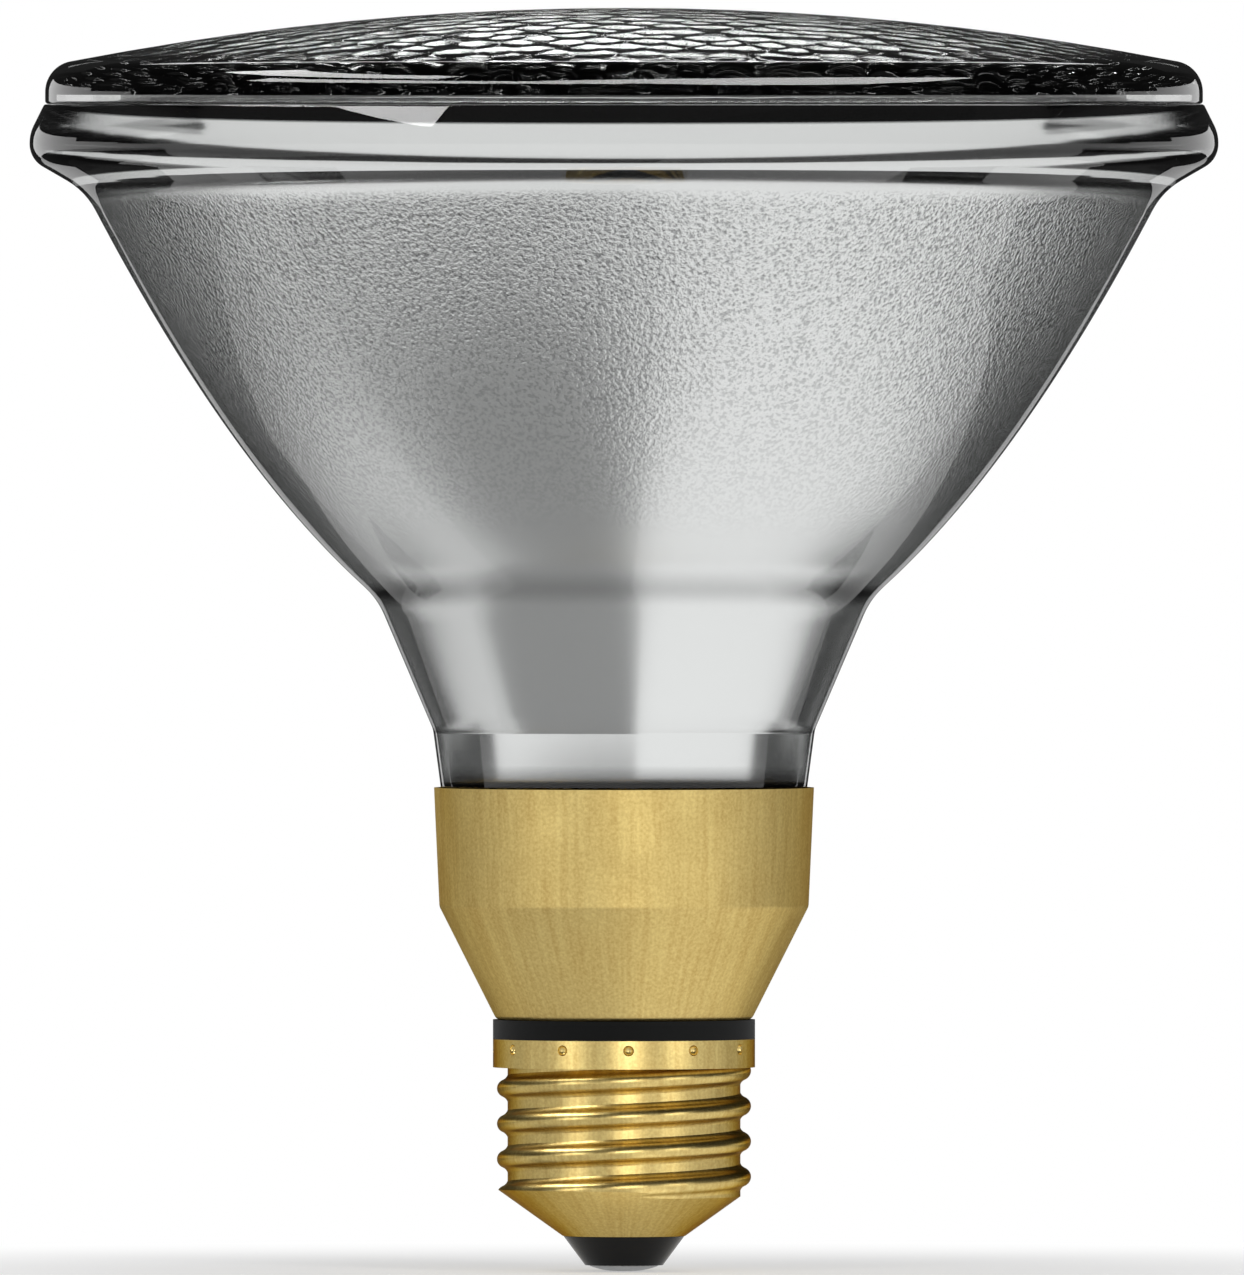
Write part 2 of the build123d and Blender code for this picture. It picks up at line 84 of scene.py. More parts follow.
# Reflector
bowl_wall = 3.3
bowl_foot_r = 25.0
flare_w = 9.8
flare_drop = 3.957
flare_fillet = 7.6
bead_h = 2.6
bead_under_angle = 30.0
bead_low_fillet = 2.7
bead_high_fillet = 4.0
seam_rise = 3.05
seam_step = 0.1
seam_fillet = 0.35
seal_w = 4.8
seal_gap = 0.03  # hair of air that keeps the two sealing faces apart
mirror_ledge = 1.2
heel_step = 0.8
heel_reach = 2.63
heel_h = 6.0
heel_wall = 3.0
heel_blend_fillet = 8.0
heel_foot_fillet = 3.0
well_blend_w = 3.0
knee_fillet = 1.0
floor_sunk = 3.5
floor_t = 3.0
floor_fillet = 1.6
neck_gap = 0.7
neck_taper = 0.8
neck_wall = 3.2
neck_fillet = 0.8

# Mirror film
neck_shade_h = 2.6  # from the skirt's lip up to where the painted shade has faded
fold_rise = 21.6  # from the skirt's lip up to the fold between heel and mirror, where painted shade lies
fold_half = 2.5
ledge_shade_rise = 2.4  # from the edge of the mirror up to the film painted near black as shade
gloss_low_z = 56.0
gloss_high_z = 76.0
grain_low_z = 76.0
grain_high_z = 104.0
smooth_low_z = 110.5
smooth_high_z = 112.5

# Lens
lens_edge_h = 3.85
lens_wall = 3.8
lens_corner_fillet = 3.2
stipple_pitch = 4.4
stipple_h = 0.78
stipple_radius = 3.5
stipple_jitter = 0.25
stipple_margin = 8.0

# Mesh fineness
turn_steps = 320
lens_rings = 140
arc_step = 6.0

# Heights and radii that follow
z_bead = z_seam - seam_rise - bead_h
z_floor = z_lip - floor_sunk
z_floor_top = z_floor + floor_t
z_heel = z_lip + heel_h
seal_r = lens_r - seal_w
mirror_r = seal_r - mirror_ledge
flare_r = bead_r - flare_w
flare_z = z_bead - flare_drop
focal = (hypot(flare_r, flare_z - z_focus) - (flare_z - z_focus)) / 2
z_vertex = z_focus - focal
dome_h = z_top - z_seam - lens_edge_h
dome_r = (lens_r * lens_r + dome_h * dome_h) / (2 * dome_h)


# Outlines, with the radius as X and the height as Y


def rounded(points, fillets):
    """Outline through the points, with its inner corners rounded by the given radii."""
    points = [Vector(point) for point in points]
    line = [points[0]]
    for before, corner, after, radius in zip(points, points[1:], points[2:], fillets):
        way_in = (corner - before).normalized()
        way_out = (after - corner).normalized()
        turn = atan2(way_in.x * way_out.y - way_in.y * way_out.x, way_in.dot(way_out))
        start = corner - way_in * radius * tan(abs(turn) / 2)
        side = Vector((-way_in.y, way_in.x)) * (radius if turn > 0 else -radius)
        steps = max(2, ceil(abs(turn) / radians(arc_step)))
        for step in range(steps + 1):
            line.append(start + side + Matrix.Rotation(turn * step / steps, 2) @ -side)
    line.append(points[-1])
    return line


def mirror_z(r):
    return z_vertex + r * r / (4 * focal)


def mirror_tangent(r):
    return Vector((2 * focal, r)).normalized()


def behind_mirror(r):
    """Point on the outside of the bowl, one wall behind the mirror."""
    along = mirror_tangent(r)
    return Vector((r + bowl_wall * along.y, mirror_z(r) - bowl_wall * along.x))


def spread(start, stop, steps):
    return [start + (stop - start) * step / steps for step in range(steps + 1)]


def crossing(point_a, way_a, point_b, way_b):
    cross = way_a.x * way_b.y - way_a.y * way_b.x
    gap = point_b - point_a
    return point_a + way_a * ((gap.x * way_b.y - gap.y * way_b.x) / cross)


def dome_z(radius, r):
    return z_top - dome_r + sqrt(radius * radius - r * r)


# Meshes


def new_piece(name, vertices, faces, finishes, finish_of_face=None):
    """Smooth mesh in millimetres, put into the scene in metres."""
    mesh = bpy.data.meshes.new(name)
    mesh.from_pydata([Vector(vertex) * MM for vertex in vertices], [], faces)
    for finish in finishes:
        mesh.materials.append(finish)
    if finish_of_face:
        mesh.polygons.foreach_set("material_index", finish_of_face)
    mesh.polygons.foreach_set("use_smooth", [True] * len(faces))
    work = bmesh.new()
    work.from_mesh(mesh)
    bmesh.ops.recalc_face_normals(work, faces=work.faces)
    work.to_mesh(mesh)
    work.free()
    mesh.set_sharp_from_angle(angle=radians(35))
    piece = bpy.data.objects.new(name, mesh)
    bpy.context.scene.collection.objects.link(piece)
    return piece


def turned_rings(outline, steps):
    """Vertices and faces of an outline turned about Z. A point on the axis becomes one vertex."""
    vertices, rows, faces, stretches = [], [], [], []
    for point in outline:
        if point.x < 1e-6:
            rows.append([len(vertices)] * steps)
            vertices.append((0, 0, point.y))
            continue
        rows.append(range(len(vertices), len(vertices) + steps))
        for step in range(steps):
            turn = 2 * pi * step / steps
            vertices.append((point.x * cos(turn), point.x * sin(turn), point.y))
    for stretch, (low, high) in enumerate(zip(rows, rows[1:])):
        for step in range(steps):
            after = (step + 1) % steps
            corners = dict.fromkeys((low[step], low[after], high[after], high[step]))
            if len(corners) > 2:
                faces.append(tuple(corners))
                stretches.append(stretch)
    return vertices, faces, stretches


def make_reflector(glass, film):
    foot = behind_mirror(bowl_foot_r)
    foot_way = mirror_tangent(bowl_foot_r)
    head = behind_mirror(flare_r)
    neck_lip = Vector((skirt_lip_r - neck_gap, z_lip))
    neck_foot = Vector((neck_lip.x - neck_taper, z_neck_foot))
    bore_foot = Vector((neck_foot.x - neck_wall, z_neck_foot))
    bore_top = Vector((bore_foot.x + neck_taper * (z_floor - z_neck_foot) / (z_lip - z_neck_foot), z_floor))
    heel_foot = Vector((neck_lip.x + heel_step, z_heel))
    heel_head = foot - foot_way * heel_reach
    under = radians(bead_under_angle)
    bead_low = Vector((bead_r, z_bead))
    bead_high = Vector((bead_r, z_bead + bead_h))
    flare = crossing(bead_low, Vector((cos(under), sin(under))), head, mirror_tangent(flare_r))
    seam = Vector((lens_r + seam_step, z_seam - seal_gap))
    seal = Vector((seal_r, z_seam - seal_gap))
    heel_slope = (heel_head.x - heel_foot.x) / (heel_head.y - heel_foot.y)
    knee = Vector((heel_foot.x - heel_wall * hypot(1, heel_slope), z_heel))
    a = heel_slope / (4 * focal)
    c = knee.x + heel_slope * (z_vertex - z_heel)
    well_r = (1 - sqrt(1 - 4 * a * c)) / (2 * a)
    blend_r = well_r + well_blend_w
    blend = Vector((blend_r, mirror_z(blend_r)))
    blend_way = mirror_tangent(blend_r)
    well_way = Vector((heel_slope, 1)).normalized()
    corner = crossing(blend, blend_way, knee, well_way)
    well_head = corner - well_way * (blend - corner).length
    well_foot = Vector((knee.x - heel_step / heel_h * (z_heel - z_floor_top), z_floor_top))

    outline = [Vector((0, z_floor))]
    outline += rounded(
        [bore_top, bore_foot, neck_foot, neck_lip, heel_foot, heel_head, foot],
        [neck_fillet, neck_fillet, 20.0, heel_foot_fillet, heel_blend_fillet],
    )
    outline += [behind_mirror(r) for r in spread(bowl_foot_r, flare_r, 48)[1:-1]]
    mirror_edge = Vector((mirror_r, mirror_z(mirror_r)))
    outline += rounded(
        [head, flare, bead_low, bead_high, seam, seal, mirror_edge],
        [flare_fillet, bead_low_fillet, bead_high_fillet, seam_fillet, seam_fillet],
    )[:-1]
    # The film starts at the seal and covers the ledge
    film_start = len(outline) - 1
    outline.append(mirror_edge.lerp(seal, 0.5))
    outline += [Vector((r, mirror_z(r))) for r in spread(mirror_r, blend_r, 48)]
    outline += [blend.lerp(corner, s).lerp(corner.lerp(well_head, s), s) for s in spread(0, 1, 12)[1:-1]]
    outline += rounded([well_head, knee, well_foot, Vector((0, z_floor_top))], [knee_fillet, floor_fillet])
    vertices, faces, stretches = turned_rings(outline, turn_steps)
    finish_of_face = [int(stretch >= film_start) for stretch in stretches]
    piece = new_piece("reflector_glass", vertices, faces, [glass, film], finish_of_face)
    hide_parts("reflector")
    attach(piece, "root")


def stipple_seeds():
    """Centres and ball radii of the pressed dimples: a close-packed pattern, shaken a little."""
    shake = random.Random(38)
    row_h = stipple_pitch * sqrt(3) / 2
    rows = ceil(seal_r / row_h)
    columns = ceil(seal_r / stipple_pitch) + 1
    shift = stipple_jitter * stipple_pitch
    seeds = []
    for row in range(-rows, rows + 1):
        for column in range(-columns, columns + 1):
            x = (column + 0.5 * (row % 2)) * stipple_pitch + shake.uniform(-1, 1) * shift
            y = row * row_h + shake.uniform(-1, 1) * shift
            seeds.append((x, y, stipple_radius * shake.uniform(0.88, 1.12)))
    return seeds


def make_lens(glass):
    inner_r = dome_r - lens_wall
    seeds = stipple_seeds()
    finder = KDTree(len(seeds))
    for place, (x, y, _) in enumerate(seeds):
        finder.insert((x, y, 0), place)
    finder.balance()

    def stipple(x, y):
        """How far the dimple over one spot stands in from the face."""
        tallest = 0
        for _, place, away in finder.find_n((x, y, 0), 3):
            ball = seeds[place][2]
            if away < ball:
                tallest = max(tallest, sqrt(ball * ball - away * away) - ball + stipple_h)
        return tallest * min(1, max(0, (seal_r - hypot(x, y)) / stipple_margin - 0.2))

    # Stippled face: rings of six, twelve, eighteen points and so on
    vertices = [(0, 0, dome_z(inner_r, 0) - stipple(0, 0))]
    rows = [[0]]
    faces = []
    for ring in range(1, lens_rings + 1):
        r = seal_r * ring / lens_rings
        count = 6 * ring
        row = range(len(vertices), len(vertices) + count)
        for step in range(count):
            x = r * cos(2 * pi * step / count)
            y = r * sin(2 * pi * step / count)
            vertices.append((x, y, dome_z(inner_r, r) - stipple(x, y)))
        inside = rows[-1]
        for sector in range(6):
            for step in range(ring):
                a = sector * ring + step
                b = sector * (ring - 1) + step
                faces.append((row[a], row[(a + 1) % count], inside[b % len(inside)]))
                if step < ring - 1:
                    faces.append((inside[b], row[a + 1], inside[(b + 1) % len(inside)]))
        rows.append(row)

    # Sealing face, edge and outer dome, turned from the last ring of the stippled face
    corner = Vector((lens_r, z_seam + lens_edge_h))
    dome_way = Vector((-sqrt(dome_r**2 - lens_r**2), lens_r)).normalized()
    outline = rounded(
        [Vector((seal_r, z_seam)), Vector((lens_r, z_seam)), corner, corner + dome_way * 6],
        [seam_fillet, lens_corner_fillet],
    )[:-1]
    outline += [Vector((r, dome_z(dome_r, r))) for r in spread(outline[-1].x, 0, 10)[1:]]
    edge_vertices, edge_faces, _ = turned_rings(outline, 6 * lens_rings)
    base = len(vertices)
    vertices += edge_vertices
    faces += [tuple(base + corner for corner in face) for face in edge_faces]
    last = rows[-1]
    count = len(last)
    faces += [(last[s], last[(s + 1) % count], base + (s + 1) % count, base + s) for s in range(count)]
    piece = new_piece("lens_glass", vertices, faces, [glass])
    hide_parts("lens")
    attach(piece, "root")
    return piece


# Finishes


def linear(hex_colour):
    """Linear colour of an sRGB hex value."""
    shares = [int(hex_colour[place : place + 2], 16) / 255 for place in (1, 3, 5)]
    return [s / 12.92 if s <= 0.04045 else ((s + 0.055) / 1.055) ** 2.4 for s in shares] + [1]


def per(size):
    """Pattern scale for a feature of that many millimetres."""
    return 1 / (size * MM)


def add(tree, kind, settings=None, links=None):
    """One node, with its settings and the sockets that feed it."""
    node = tree.nodes.new(kind)
    for name, value in (settings or {}).items():
        if isinstance(name, str) and hasattr(node, name):
            setattr(node, name, value)
        else:
            node.inputs[name].default_value = value
    for name, source in (links or {}).items():
        tree.links.new(source, node.inputs[name])
    return node


def new_finish(name, settings):
    """Material with one shader, its tree and that shader, ready for patterns."""
    finish = bpy.data.materials.new(name)
    finish.use_nodes = True
    tree = finish.node_tree
    tree.nodes.clear()
    shader = add(tree, "ShaderNodeBsdfPrincipled", settings)
    add(tree, "ShaderNodeOutputMaterial", {"name": "out"}, {"Surface": shader.outputs["BSDF"]})
    return finish, tree, shader


def pressed_glass(name, loss_density):
    # Borosilicate glass pressed in an iron mould: clear and glossy, with slow ripples from the mould
    finish, tree, shader = new_finish(
        name,
        {"Base Color": linear("#FCFDFC"), "Transmission Weight": 1.0, "IOR": 1.474, "Roughness": 0.0},
    )
    loss = add(tree, "ShaderNodeVolumeAbsorption", {"Color": linear("#000000"), "Density": loss_density})
    tree.links.new(loss.outputs["Volume"], tree.nodes["out"].inputs["Volume"])
    place = add(tree, "ShaderNodeTexCoord")
    ripple = add(
        tree, "ShaderNodeTexNoise", {"Scale": per(9), "Detail": 1.0}, {"Vector": place.outputs["Object"]}
    )
    bump = add(
        tree, "ShaderNodeBump", {"Strength": 0.25, "Distance": 0.08 * MM}, {"Height": ripple.outputs["Fac"]}
    )
    tree.links.new(bump.outputs["Normal"], shader.inputs["Normal"])
    return finish


def mirror_film():
    # Aluminium film evaporated on pressed glass: silver, satin, grained by the mould towards the rim and
    # smooth near the heel. Painted shade darkens it in the fold above the heel, most where it is seen at a
    # slant, dark grey towards the floor and near black above the edge of the mirror, beside the seal. The
    # grain is really finer, and is drawn at 0.4 mm to show.
    finish, tree, shader = new_finish("aluminium_mirror_film", {"Metallic": 1.0})
    place = add(tree, "ShaderNodeTexCoord")
    spot = add(tree, "ShaderNodeSeparateXYZ", None, {"Vector": place.outputs["Object"]})
    # Painted shade: dark grey film at the floor of the well, fading to silver just above the skirt's lip
    neck_shade_ramp = add(
        tree,
        "ShaderNodeMapRange",
        {"From Min": z_lip * MM, "From Max": (z_lip + neck_shade_h) * MM},
        {"Value": spot.outputs["Z"]},
    )
    amount = add(
        tree,
        "ShaderNodeMapRange",
        {"From Min": grain_low_z * MM, "From Max": grain_high_z * MM},
        {"Value": spot.outputs["Z"]},
    )
    smooth = add(
        tree,
        "ShaderNodeMapRange",
        {"From Min": smooth_low_z * MM, "From Max": smooth_high_z * MM, "To Min": 1.0, "To Max": 0.0},
        {"Value": spot.outputs["Z"]},
    )
    depth = add(
        tree,
        "ShaderNodeMath",
        {"operation": "MULTIPLY"},
        {0: amount.outputs["Result"], 1: smooth.outputs["Result"]},
    )
    grain = add(
        tree, "ShaderNodeTexNoise", {"Scale": per(0.4), "Detail": 2.0}, {"Vector": place.outputs["Object"]}
    )
    speck = add(
        tree,
        "ShaderNodeMapRange",
        {"From Min": 0.3, "From Max": 0.5},
        {"Value": grain.outputs["Fac"]},
    )
    flat = add(tree, "ShaderNodeMath", {"operation": "SUBTRACT", 0: 1.0}, {1: depth.outputs["Value"]})
    clean = add(
        tree,
        "ShaderNodeMath",
        {"operation": "MAXIMUM"},
        {0: speck.outputs["Result"], 1: flat.outputs["Value"]},
    )
    silver = add(
        tree,
        "ShaderNodeMix",
        {"data_type": "RGBA", 6: linear("#B4B5B6"), 7: linear("#F2F3F3")},
        {"Factor": clean.outputs["Value"]},
    )
    # Painted shade colour at the floor of the well
    colour = add(
        tree,
        "ShaderNodeMix",
        {"data_type": "RGBA", 6: linear("#3C3D3E")},
        {"Factor": neck_shade_ramp.outputs["Result"], 7: silver.outputs[2]},
    )
    # Painted shade: a dark band along the fold above the heel, deepest where the film is seen at a slant
    from_fold = add(
        tree,
        "ShaderNodeMath",
        {"operation": "SUBTRACT", 1: (z_lip + fold_rise) * MM},
        {0: spot.outputs["Z"]},
    )
    beside_fold = add(tree, "ShaderNodeMath", {"operation": "ABSOLUTE"}, {0: from_fold.outputs["Value"]})
    fold = add(
        tree,
        "ShaderNodeMapRange",
        {"interpolation_type": "SMOOTHSTEP", "From Max": fold_half * MM, "To Min": 1.0, "To Max": 0.0},
        {"Value": beside_fold.outputs["Value"]},
    )
    slant = add(tree, "ShaderNodeLayerWeight", {"Blend": 0.5})
    slant_shade = add(
        tree,
        "ShaderNodeMapRange",
        {"From Min": 0.13, "From Max": 0.27, "To Min": 0.3, "To Max": 1.0},
        {"Value": slant.outputs["Facing"]},
    )
    shade = add(
        tree,
        "ShaderNodeMath",
        {"operation": "MULTIPLY"},
        {0: fold.outputs["Result"], 1: slant_shade.outputs["Result"]},
    )
    fold_shaded = add(
        tree,
        "ShaderNodeMix",
        {"data_type": "RGBA", 7: linear("#0A0A0A")},
        {"Factor": shade.outputs["Value"], 6: colour.outputs[2]},
    )
    rim_polish = add(
        tree,
        "ShaderNodeMapRange",
        {"From Min": (z_bead - 1) * MM, "From Max": (z_bead + 1) * MM, "To Min": 1.0, "To Max": 0.35},
        {"Value": spot.outputs["Z"]},
    )
    # Painted shade: above this height the film is painted near black, so the strip beside the seam stays
    # dark
    z_ledge_shade = mirror_z(mirror_r) + ledge_shade_rise
    ledge_shade_ramp = add(
        tree,
        "ShaderNodeMapRange",
        {"From Min": (z_ledge_shade - 0.15) * MM, "From Max": (z_ledge_shade + 0.15) * MM},
        {"Value": spot.outputs["Z"]},
    )
    ledge_shaded = add(
        tree,
        "ShaderNodeMix",
        {"data_type": "RGBA", 7: linear("#1A1A1A")},
        {"Factor": ledge_shade_ramp.outputs["Result"], 6: fold_shaded.outputs[2]},
    )
    polish = add(
        tree,
        "ShaderNodeMapRange",
        {"From Min": gloss_low_z * MM, "From Max": gloss_high_z * MM, "To Min": 0.16, "To Max": 0.22},
        {"Value": spot.outputs["Z"]},
    )
    satin = add(
        tree,
        "ShaderNodeMath",
        {"operation": "MULTIPLY"},
        {0: polish.outputs["Result"], 1: rim_polish.outputs["Result"]},
    )
    tree.links.new(ledge_shaded.outputs[2], shader.inputs["Base Color"])
    tree.links.new(satin.outputs["Value"], shader.inputs["Roughness"])
    bump = add(
        tree,
        "ShaderNodeBump",
        {"Distance": 0.13 * MM},
        {"Height": grain.outputs["Fac"], "Strength": depth.outputs["Value"]},
    )
    tree.links.new(bump.outputs["Normal"], shader.inputs["Normal"])
    return finish


def satin_brass(name, smooth, rough):
    # Drawn and etched brass: matt gold with a fine grain, faint draw streaks along the axis and slight
    # tarnish. The grain is drawn at 0.3 mm so that it shows.
    finish, tree, shader = new_finish(name, {"Metallic": 1.0, "Specular Tint": linear("#8F6420")})
    place = add(tree, "ShaderNodeTexCoord")
    spot = add(tree, "ShaderNodeSeparateXYZ", None, {"Vector": place.outputs["Object"]})
    turn = add(
        tree, "ShaderNodeMath", {"operation": "ARCTAN2"}, {0: spot.outputs["Y"], 1: spot.outputs["X"]}
    )
    arc = add(tree, "ShaderNodeMath", {"operation": "MULTIPLY", 1: 19 * MM}, {0: turn.outputs["Value"]})
    rise = add(tree, "ShaderNodeMath", {"operation": "MULTIPLY", 1: 0.05}, {0: spot.outputs["Z"]})
    unrolled = add(
        tree, "ShaderNodeCombineXYZ", None, {"X": arc.outputs["Value"], "Y": rise.outputs["Value"]}
    )
    streak = add(
        tree,
        "ShaderNodeTexNoise",
        {"Scale": per(0.7), "Detail": 3.0},
        {"Vector": unrolled.outputs["Vector"]},
    )
    grain = add(
        tree, "ShaderNodeTexNoise", {"Scale": per(0.3), "Detail": 2.0}, {"Vector": place.outputs["Object"]}
    )
    tarnish = add(
        tree, "ShaderNodeTexNoise", {"Scale": per(5), "Detail": 4.0}, {"Vector": place.outputs["Object"]}
    )
    mixed = add(
        tree,
        "ShaderNodeMix",
        {"data_type": "FLOAT", "Factor": 0.45},
        {"A": grain.outputs["Fac"], "B": streak.outputs["Fac"]},
    )
    tone = add(
        tree, "ShaderNodeMapRange", {"From Min": 0.35, "From Max": 0.65}, {"Value": mixed.outputs["Result"]}
    )
    colour = add(
        tree,
        "ShaderNodeMix",
        {"data_type": "RGBA", 6: linear("#C6AA68"), 7: linear("#DEC883")},
        {"Factor": tone.outputs["Result"]},
    )
    gloss = add(
        tree,
        "ShaderNodeMapRange",
        {"From Min": 0.3, "From Max": 0.7, "To Min": smooth, "To Max": rough},
        {"Value": tarnish.outputs["Fac"]},
    )
    bump = add(
        tree,
        "ShaderNodeBump",
        {"Strength": 0.35, "Distance": 0.03 * MM},
        {"Height": mixed.outputs["Result"]},
    )
    tree.links.new(colour.outputs[2], shader.inputs["Base Color"])
    tree.links.new(gloss.outputs["Result"], shader.inputs["Roughness"])
    tree.links.new(bump.outputs["Normal"], shader.inputs["Normal"])
    return finish


def grained(name, dark, light, grain_size, bump_depth, settings):
    """Finish whose colour and height follow one fine grain."""
    finish, tree, shader = new_finish(name, settings)
    place = add(tree, "ShaderNodeTexCoord")
    grain = add(
        tree,
        "ShaderNodeTexNoise",
        {"Scale": per(grain_size), "Detail": 3.0},
        {"Vector": place.outputs["Object"]},
    )
    colour = add(
        tree,
        "ShaderNodeMix",
        {"data_type": "RGBA", 6: linear(dark), 7: linear(light)},
        {"Factor": grain.outputs["Fac"]},
    )
    bump = add(
        tree,
        "ShaderNodeBump",
        {"Strength": 0.5, "Distance": bump_depth * MM},
        {"Height": grain.outputs["Fac"]},
    )
    tree.links.new(colour.outputs[2], shader.inputs["Base Color"])
    tree.links.new(bump.outputs["Normal"], shader.inputs["Normal"])
    return finish


def clear_tube(name, tint, ior):
    """Drawn clear glass with faint draw lines."""
    finish, tree, shader = new_finish(
        name, {"Base Color": linear(tint), "Transmission Weight": 1.0, "IOR": ior, "Roughness": 0.0}
    )
    place = add(tree, "ShaderNodeTexCoord")
    lines = add(
        tree, "ShaderNodeTexNoise", {"Scale": per(1.5), "Detail": 1.0}, {"Vector": place.outputs["Object"]}
    )
    bump = add(
        tree, "ShaderNodeBump", {"Strength": 0.2, "Distance": 0.02 * MM}, {"Height": lines.outputs["Fac"]}
    )
    tree.links.new(bump.outputs["Normal"], shader.inputs["Normal"])
    return finish


# The losses are absorption densities, for each metre of glass
bowl_loss = 18.0
lens_loss = 36.0
bowl_glass = pressed_glass("pressed_borosilicate_glass", bowl_loss)
lens_glass = pressed_glass("stippled_borosilicate_glass", lens_loss)
film = mirror_film()
brass = satin_brass("satin_brass", 0.46, 0.58)
rolled_brass = satin_brass("rolled_brass", 0.28, 0.36)
# Phenolic moulding: flat black with a fine matt skin
phenolic = grained(
    "black_phenolic",
    "#070808",
    "#0E0F0F",
    0.4,
    0.01,
    {"Roughness": 0.55, "IOR": 1.55, "Specular IOR Level": 0.2},
)
# Base glass: black, poured and fire-polished, so it is smooth with slow waves
base_glass = grained(
    "black_base_glass",
    "#050505",
    "#0B0B0B",
    2.5,
    0.04,
    {"Roughness": 0.22, "IOR": 1.52, "Specular IOR Level": 0.2},
)
# Solder: dull grey metal with a lumpy skin
solder = grained("dull_solder", "#9B9C9C", "#BDBEBE", 0.8, 0.05, {"Metallic": 1.0, "Roughness": 0.4})
# Basing cement: pale, dry and gritty
cement = grained("basing_cement", "#BDB39C", "#D8CFBA", 0.5, 0.08, {"Roughness": 0.9, "IOR": 1.5})
# Nickel-iron: satin grey, slightly warm
nickel_iron = grained("nickel_iron", "#A9A69F", "#C6C3BC", 0.5, 0.01, {"Metallic": 1.0, "Roughness": 0.35})
# Tungsten wire: dark grey, drawn
tungsten = grained("drawn_tungsten", "#5E5E60", "#7A7A7D", 0.2, 0.01, {"Metallic": 1.0, "Roughness": 0.35})
# Molybdenum: mid grey, satin
molybdenum = grained("molybdenum", "#8E8F91", "#A9AAAD", 0.3, 0.01, {"Metallic": 1.0, "Roughness": 0.3})
# Copper wire: bare, a little dulled
copper = grained("bare_copper", "#B5744E", "#D0916A", 0.4, 0.01, {"Metallic": 1.0, "Roughness": 0.35})
quartz = clear_tube("drawn_quartz", "#F7F8FA", 1.458)
tube_glass = clear_tube("drawn_tube_glass", "#F1F6F4", 1.5)

finish_of_node = {
    "skirt": brass,
    "screw_shell": rolled_brass,
    "insulating_ring": phenolic,
    "bottom_insulator": base_glass,
    "centre_contact": solder,
    "basing_cement": cement,
    "capsule_envelope": quartz,
    "exhaust_tube": tube_glass,
    "filament": tungsten,
    "inner_lead_short": molybdenum,
    "inner_lead_long": molybdenum,
    "seal_foils": molybdenum,
    "capsule_leads": molybdenum,
    "lead_post_left": nickel_iron,
    "lead_post_right": nickel_iron,
    "ferrule_left": nickel_iron,
    "ferrule_right": nickel_iron,
    "contact_wire": copper,
    "shell_wire": copper,
}
for name, finish in finish_of_node.items():
    mesh = nodes[name].data
    mesh.materials.clear()
    mesh.materials.append(finish)

make_reflector(bowl_glass, film)
lens_piece = make_lens(lens_glass)


# Stage: floor, cards and light


def glow(name, brightness):
    """Plain even brightness, for cards."""
    finish = bpy.data.materials.new(name)
    finish.use_nodes = True
    tree = finish.node_tree
    tree.nodes.clear()
    light = add(tree, "ShaderNodeEmission", {"Color": (1, 1, 1, 1), "Strength": brightness})
    add(tree, "ShaderNodeOutputMaterial", None, {"Surface": light.outputs["Emission"]})
    return finish


def seen_ray(tree):
    """One for rays that reach the eye straight, by a reflection or through glass."""
    path = add(tree, "ShaderNodeLightPath")
    straight = add(
        tree,
        "ShaderNodeMath",
        {"operation": "MAXIMUM"},
        {0: path.outputs["Is Camera Ray"], 1: path.outputs["Is Glossy Ray"]},
    )
    return add(
        tree,
        "ShaderNodeMath",
        {"operation": "MAXIMUM"},
        {0: straight.outputs["Value"], 1: path.outputs["Is Transmission Ray"]},
    ).outputs["Value"]


def keep_to(lamp, pieces):
    """Let a lamp or card light these pieces only."""
    lit = bpy.data.collections.new(lamp.name + "_lit")
    for piece in pieces:
        lit.objects.link(piece)
    lamp.light_linking.receiver_collection = lit


def make_card(name, points, faces, brightness):
    """Card that shows only in metal and glass."""
    mesh = bpy.data.meshes.new(name)
    mesh.from_pydata(points, [], faces)
    mesh.materials.append(glow(name, brightness))
    card = bpy.data.objects.new(name, mesh)
    bpy.context.scene.collection.objects.link(card)
    card.visible_camera = False
    card.visible_diffuse = False
    card.visible_shadow = False
    card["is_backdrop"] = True
    return card


def ground_card(name, level, start, stop, brightness, near, far):
    """Sector of a ring on the floor, its angles counted from the front towards the right."""
    turns = [radians(turn) for turn in spread(start, stop, 24)]
    outer = [(far * sin(turn), -far * cos(turn), level) for turn in turns]
    inner = [(near * sin(turn), -near * cos(turn), level) for turn in reversed(turns)]
    points = outer + inner
    make_card(name, points, [tuple(range(len(points)))], brightness)


def side_card(name, start, stop, away, low, high, brightness, pointed=False):
    """Upright curved card round the lamp, its angles counted from the front towards the right."""
    turns = [radians(turn) for turn in spread(start, stop, 32)]
    count = len(turns)
    middle = (low + high) / 2
    points = []
    for level in (low, high):
        for place, turn in enumerate(turns):
            swell = sin(pi * (place + 0.3) / (count - 0.4)) if pointed else 1
            points.append((away * sin(turn), -away * cos(turn), middle + (level - middle) * swell))
    faces = [(k, k + 1, count + k + 1, count + k) for k in range(count - 1)]
    return make_card(name, points, faces, brightness)


def ceiling_card(name, level, reach, brightness):
    turns = [2 * pi * step / 48 for step in range(48)]
    points = [(reach * cos(turn), reach * sin(turn), level) for turn in turns]
    make_card(name, points, [tuple(range(len(points)))], brightness)


